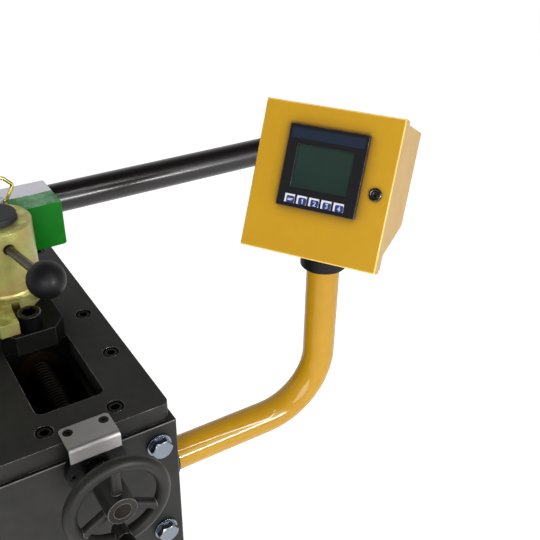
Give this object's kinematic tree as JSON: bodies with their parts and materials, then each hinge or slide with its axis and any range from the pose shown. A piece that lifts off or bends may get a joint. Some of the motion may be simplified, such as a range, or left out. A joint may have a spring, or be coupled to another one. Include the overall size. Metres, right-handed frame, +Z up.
{
  "type": "programmable tube bender",
  "caption": "Powered rotary tube bender with a screw-driven counter-die slide, a quick-release hub and a swivelling control box on a bent arm, on a floor cabinet.",
  "frame": {"origin": "on the floor, midway between the four anchor holes", "axes": "+X to the operator's right, +Y away from the operator, +Z up"},
  "size_m": [0.855, 0.8103, 1.2405],
  "materials": {
    "black_paint": "satin black paint with worn edges",
    "black_oxide": "blackened steel",
    "ground_steel": "ground machine steel",
    "tool_steel": "turned tool steel, lightly oiled",
    "bright_zinc": "bright zinc plate",
    "stainless": "brushed stainless sheet",
    "gold_zinc": "yellow passivated zinc on a casting",
    "ochre_paint": "gloss ochre enamel",
    "green_paint": "green enamel on the front, bare ground steel behind",
    "dark_tube": "dark mill finish, glossy",
    "bronze": "cast bronze",
    "bearing_steel": "polished bearing steel",
    "gear_steel": "hobbed gear steel with grease",
    "drive_paint": "grey-blue machine enamel",
    "black_plastic": "moulded black plastic",
    "gloss_black": "gloss black moulding",
    "cap_plastic": "dark grey plastic",
    "bezel_plastic": "near-black blue plastic with a navy band",
    "display_glass": "dark green liquid-crystal window",
    "key_plastic": "white keys with plain dark numerals",
    "stop_red": "signal red"
  },
  "bodies": {
    "base": {"top_plate": "black_paint", "plate_screws": "black_oxide", "head_frame": "black_paint", "front_plate": "black_paint", "front_bolts": "bright_zinc", "front_washers": "bright_zinc", "guide_strips": "ground_steel", "screw_guard": "stainless", "guard_screws": "black_oxide", "screw_flange": "black_oxide", "flange_screws": "black_oxide", "tail_bearing": "black_oxide", "bearing_housing": "black_paint", "upper_bearing": "bearing_steel", "lower_bearing": "bearing_steel", "gear_reducer": "drive_paint", "drive_motor": "drive_paint", "bend_encoder": "black_plastic", "control_arm": "ochre_paint", "arm_clamp": "black_oxide", "swivel_collar": "gloss_black", "cabinet": "black_paint", "cable_gland": "black_plastic"},
    "feed_screw": {"lead_screw": "tool_steel", "handwheel": "black_paint"},
    "crank": {"crank_handle": "gloss_black"},
    "carriage": {"slide_body": "black_oxide", "lead_nut": "bronze", "slide_block": "black_paint", "stop_screw": "black_oxide", "pivot_shaft": "ground_steel"},
    "hub": {"vice_hub": "gold_zinc", "hub_cap": "cap_plastic", "lever_rod": "tool_steel", "ball_knob": "gloss_black"},
    "die": {"counter_die": "green_paint"},
    "pin": {"die_pin": "ground_steel"},
    "ring": {"pin_ring": "gold_zinc"},
    "bending_head": {"spindle": "ground_steel", "bull_gear": "gear_steel", "former": "tool_steel", "tube_hook": "tool_steel", "hook_screws": "black_oxide", "former_nut": "bright_zinc"},
    "drive_pinion": {"pinion": "gear_steel"},
    "tube": {"work_tube": "dark_tube"},
    "box": {"box_shell": "ochre_paint"},
    "lid": {"box_door": "ochre_paint", "display_frame": "bezel_plastic", "display_window": "display_glass"},
    "lid_lock": {"door_lock": "black_plastic"},
    "cabinet_lid": {"cabinet_door": "ochre_paint"},
    "cabinet_latch": {"door_latch": "black_plastic"},
    "stop": {"stop_button": "stop_red"},
    "switch": {"main_switch": "black_plastic"},
    "push_key_1": {"key_1": "key_plastic"},
    "push_key_2": {"key_2": "key_plastic"},
    "push_key_3": {"key_3": "key_plastic"},
    "push_key_4": {"key_4": "key_plastic"},
    "push_key_5": {"key_5": "key_plastic"}
  },
  "joints": [
    {"name": "feed_turn", "type": "hinge", "parent": "base", "child": "feed_screw", "pos_m": [0.085, -0.32, 0.889], "axis": [0, -1, 0], "range_deg": [0, 6000]},
    {"name": "crank_spin", "type": "hinge", "parent": "feed_screw", "child": "crank", "pos_m": [0.085, -0.395, 0.839], "axis": [0, 1, 0], "continuous": true},
    {"name": "carriage_slide", "type": "slide", "parent": "base", "child": "carriage", "axis": [0, -1, 0], "range_m": [0, 0.1005]},
    {"name": "hub_swing", "type": "hinge", "parent": "carriage", "child": "hub", "pos_m": [0.081, -0.0311, 1.03], "axis": [0, 0, -1], "range_deg": [0, 25]},
    {"name": "die_turn", "type": "hinge", "parent": "hub", "child": "die", "pos_m": [0.099, 0.02, 1.0245], "axis": [0, 0, 1], "range_deg": [0, 25]},
    {"name": "pin_lift", "type": "slide", "parent": "hub", "child": "pin", "axis": [0, 0, 1], "range_m": [0, 0.11]},
    {"name": "ring_tilt", "type": "hinge", "parent": "pin", "child": "ring", "pos_m": [0.099, 0.02, 1.0691], "axis": [1, 0, 0], "range_deg": [-85, 50]},
    {"name": "bend", "type": "hinge", "parent": "base", "child": "bending_head", "pos_m": [0, 0.172, 1.0245], "axis": [0, 0, -1], "range_deg": [0, 190]},
    {"name": "pinion_turn", "type": "hinge", "parent": "base", "child": "drive_pinion", "pos_m": [0, 0.037, 0.82], "axis": [0, 0, -1], "range_deg": [-665, 0]},
    {"name": "tube_feed", "type": "slide", "parent": "base", "child": "tube", "axis": [1, 0, 0], "range_m": [0, 0.3]},
    {"name": "box_swivel", "type": "hinge", "parent": "base", "child": "box", "pos_m": [0.4185, -0.2953, 1.088], "axis": [0, 0, 1], "range_deg": [-75, 75]},
    {"name": "lid_swing", "type": "hinge", "parent": "box", "child": "lid", "pos_m": [0.3599, -0.2295, 1.15218], "axis": [-0.3643, -0.2494, -0.8973], "range_deg": [0, 110]},
    {"name": "lock_turn", "type": "hinge", "parent": "lid", "child": "lid_lock", "pos_m": [0.43267, -0.36644, 1.1607], "axis": [0.7403, 0.5069, -0.4415], "range_deg": [0, 90]},
    {"name": "cabinet_swing", "type": "hinge", "parent": "base", "child": "cabinet_lid", "pos_m": [-0.162, -0.2835, 0.3], "axis": [0, 0, -1], "range_deg": [0, 110]},
    {"name": "latch_turn", "type": "hinge", "parent": "cabinet_lid", "child": "cabinet_latch", "pos_m": [0.129, -0.298, 0.3075], "axis": [0, 1, 0], "range_deg": [0, 90]},
    {"name": "stop_push", "type": "slide", "parent": "base", "child": "stop", "axis": [0, 1, 0], "range_m": [0, 0.005], "stiffness_N_per_m": 800, "springref_m": -0.002},
    {"name": "switch_turn", "type": "hinge", "parent": "base", "child": "switch", "pos_m": [-0.06, -0.28, 0.615], "axis": [0, 1, 0], "range_deg": [0, 90]},
    {"name": "key_1_push", "type": "slide", "parent": "lid", "child": "push_key_1", "axis": [0.7403, 0.5069, -0.4415], "range_m": [0, 0.001], "stiffness_N_per_m": 400, "springref_m": -0.0005},
    {"name": "key_2_push", "type": "slide", "parent": "lid", "child": "push_key_2", "axis": [0.7403, 0.5069, -0.4415], "range_m": [0, 0.001], "stiffness_N_per_m": 400, "springref_m": -0.0005},
    {"name": "key_3_push", "type": "slide", "parent": "lid", "child": "push_key_3", "axis": [0.7403, 0.5069, -0.4415], "range_m": [0, 0.001], "stiffness_N_per_m": 400, "springref_m": -0.0005},
    {"name": "key_4_push", "type": "slide", "parent": "lid", "child": "push_key_4", "axis": [0.7403, 0.5069, -0.4415], "range_m": [0, 0.001], "stiffness_N_per_m": 400, "springref_m": -0.0005},
    {"name": "key_5_push", "type": "slide", "parent": "lid", "child": "push_key_5", "axis": [0.7403, 0.5069, -0.4415], "range_m": [0, 0.001], "stiffness_N_per_m": 400, "springref_m": -0.0005}
  ],
  "couplings": [
    {"joint": "carriage_slide", "follows": "feed_turn", "m_per_rad": 0.00095493},
    {"joint": "die_turn", "follows": "hub_swing", "ratio": 1},
    {"joint": "pinion_turn", "follows": "bend", "ratio": -3.5}
  ]
}
